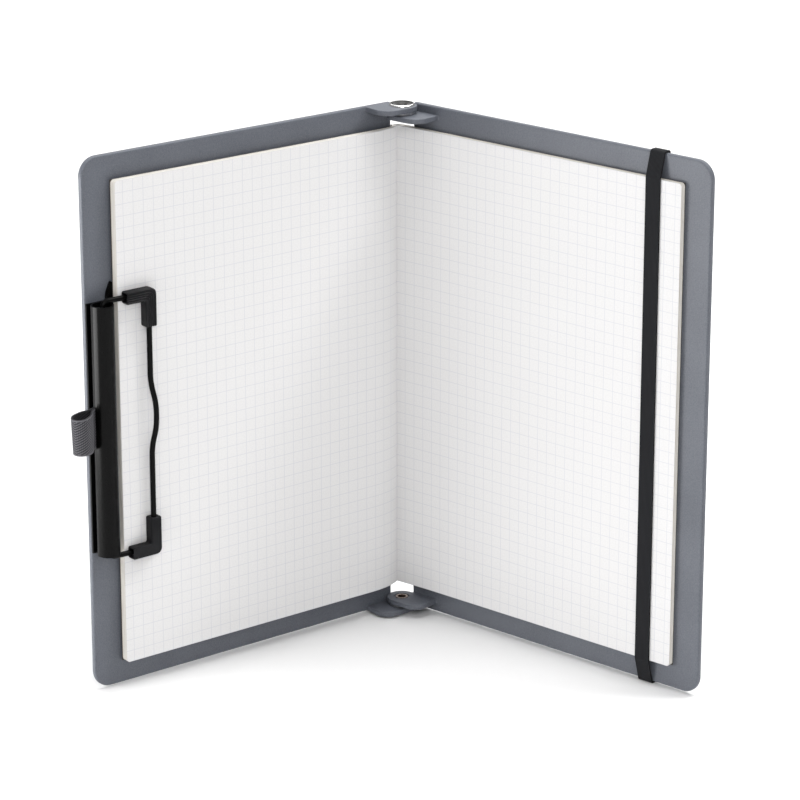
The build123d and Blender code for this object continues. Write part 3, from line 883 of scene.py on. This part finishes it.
def guard_profile(ridges, ridge_depth):
    """Closed cross-section in (across, height): a round-edged block with ridges on its face."""
    flat_w = GUARD_WIDTH / 2 - GUARD_CORNER
    flat_d = GUARD_DEPTH / 2 - GUARD_CORNER
    arcs = []
    for sx, sy, start in ((1, 1, 0), (-1, 1, 90), (-1, -1, 180), (1, -1, 270)):
        middle = Vector((sx * flat_w, sy * flat_d))
        turns = [math.radians(start + 90 * k / ARC_STEPS) for k in range(ARC_STEPS + 1)]
        arcs.append([middle + GUARD_CORNER * Vector((math.cos(a), math.sin(a))) for a in turns])
    face = []
    for k in range(1, FACE_STEPS):
        u = k / FACE_STEPS
        dip = ridge_depth * (0.5 - 0.5 * math.cos(2 * math.pi * ridges * u)) ** RIDGE_SHARPNESS
        face.append(Vector((flat_w * (1 - 2 * u), GUARD_DEPTH / 2 - dip)))
    made = arcs[0] + face
    for arc, following in zip(arcs[1:], arcs[2:] + arcs[:1]):
        made += arc
        made += [arc[-1].lerp(following[0], k / SIDE_STEPS) for k in range(1, SIDE_STEPS)]
    return made


def corner_guard(name, side, ridges, ridge_depth):
    """L-shaped moulding over a corner of the bail, with a socket where the wire comes in."""
    turn = leaf_matrix(LEFT)
    profile = guard_profile(ridges, ridge_depth)
    bore = [p.normalized() * BORE for p in profile]
    socket = [p - Vector((0, SOCKET_DROP)) for p in bore]
    arm_z = CLIP_MIDDLE + side * ARM_SPACING / 2
    arm_end = RUN_X - GUARD_WIDTH / 2 + GUARD_ARM
    leg_end = arm_z + side * (GUARD_WIDTH / 2 - GUARD_LEG)

    def lane(p):
        """The line that one point of the section follows from the arm's end to the leg's end."""
        share = p.x / GUARD_WIDTH + 0.5
        radius = INNER_BEND + (OUTER_BEND - INNER_BEND) * share
        corner = Vector((RUN_X - p.x, arm_z + side * p.x))
        ends = Vector((arm_end - GUARD_EDGE, corner.y)), Vector((corner.x, leg_end + side * GUARD_EDGE))
        return rounded_line([ends[0], corner, ends[1]], [0.0, radius, 0.0], False, BEND_STEPS)

    def arm_ring(section, scale, depth):
        """A ring at a depth inside the arm's end."""
        return [turn @ Vector((arm_end - depth, RUN_Y + scale * q.y, arm_z + side * scale * q.x))
                for q in section]

    def leg_ring(section, scale, depth):
        """A ring at a depth inside the leg's end."""
        return [turn @ Vector((RUN_X - scale * q.x, RUN_Y + scale * q.y, leg_end + side * depth))
                for q in section]

    rings = [arm_ring(socket, 1, 6 * MM), arm_ring(socket, 1, 1.6 * MM), arm_ring(profile, 0.7, 1.5 * MM),
             arm_ring(profile, 0.74, 0.1 * MM), arm_ring(profile, 0.87, 0.0)]
    for stop in zip(*[lane(p) for p in profile]):
        rings.append([turn @ Vector((at.x, RUN_Y + p.y, at.y)) for at, p in zip(stop, profile)])
    rings += [leg_ring(profile, 0.87, 0.0), leg_ring(profile, 0.6, 0.0), leg_ring(bore, 1, 0.2 * MM),
              leg_ring(bore, 1, 5 * MM)]
    points = [p for ring in rings for p in ring]
    faces = tube_faces(len(rings), len(profile))
    made = piece(name + "_guard_moulding", points, faces, rubber_finish)
    sharpen(made, 50)
    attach(made, "bail")
    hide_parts(name + "_corner_guard")


corner_guard("upper", 1, 4, 0.42 * MM)
corner_guard("lower", -1, 1, 0.0)


# ---------------------------------------------------------------- camera, floor and light

AIM = Vector((-0.8, 0, 99.0)) * MM
CAMERA_DISTANCE = 1.518
CAMERA_AZIMUTH = math.radians(1.48)
CAMERA_ELEVATION = math.radians(18.19)
CAMERA_LENS = 155.3
FLOOR_REACH = 8.0
CENTRE = (0, 0, 0.1)
# Name, place, the point it faces, width, height and watts of each light
SOFTBOXES = (
    ("right_box", (1.1, 0.0, 1.6), CENTRE, 0.5, 0.5, 15),
    ("left_box", (-1.1, 0.0, 1.6), CENTRE, 0.6, 0.6, 1.5),
    ("front", (0.15, -1.4, 0.9), CENTRE, 0.8, 0.6, 7.5),
    ("top", (0, 0.1, 1.8), (0, 0, 0), 1.4, 1.2, 24),
    ("back", (0, 1.8, 1.5), (0, 1.8, 0), 2.6, 1.6, 26),
    ("low_left", (-0.46, -0.2, 0.006), (-0.2, -0.12, 0.3), 0.35, 0.5, 6.5),
)
WORLD_STRENGTH = 0.28


def add_camera():
    """The view of the photograph: a long lens, slightly above."""
    data = bpy.data.cameras.new("camera")
    data.sensor_width = 36.0
    data.lens = CAMERA_LENS
    data.clip_start, data.clip_end = 0.05, 50
    camera = bpy.data.objects.new("camera", data)
    bpy.context.scene.collection.objects.link(camera)
    flat = math.cos(CAMERA_ELEVATION)
    back = Vector((math.sin(CAMERA_AZIMUTH) * flat, -math.cos(CAMERA_AZIMUTH) * flat,
                   math.sin(CAMERA_ELEVATION)))
    camera.location = AIM + back * CAMERA_DISTANCE
    camera.rotation_euler = (math.pi / 2 - CAMERA_ELEVATION, 0, CAMERA_AZIMUTH)
    bpy.context.scene.camera = camera


def add_floor():
    """A plain pale floor that runs far past the view."""
    size = FLOOR_REACH
    material, _, shader = start_material("floor")
    set_values(shader, Roughness=0.9, Base_Color=(0.9, 0.9, 0.9, 1), Specular_IOR_Level=0.1)
    corners = [(-size, -size, 0), (size, -size, 0), (size, size, 0), (-size, size, 0)]
    piece("floor", corners, [(0, 1, 2, 3)], material, smooth=False)


def add_softbox(name, place, aim, width, height, watts):
    """A rectangular soft light that faces a point."""
    data = bpy.data.lights.new(name, "AREA")
    data.shape = "RECTANGLE"
    data.size, data.size_y = width, height
    data.energy = watts
    light = bpy.data.objects.new(name, data)
    light.location = place
    light.rotation_euler = (Vector(aim) - Vector(place)).to_track_quat("-Z", "Y").to_euler()
    bpy.context.scene.collection.objects.link(light)


def add_world(strength):
    """Even white surroundings."""
    world = bpy.data.worlds.new("studio")
    world.use_nodes = True
    background = world.node_tree.nodes["Background"]
    background.inputs["Color"].default_value = (1, 1, 1, 1)
    background.inputs["Strength"].default_value = strength
    bpy.context.scene.world = world


add_camera()
add_floor()
for box in SOFTBOXES:
    add_softbox(*box)
add_world(WORLD_STRENGTH)
bpy.context.scene.view_settings.view_transform = "Standard"
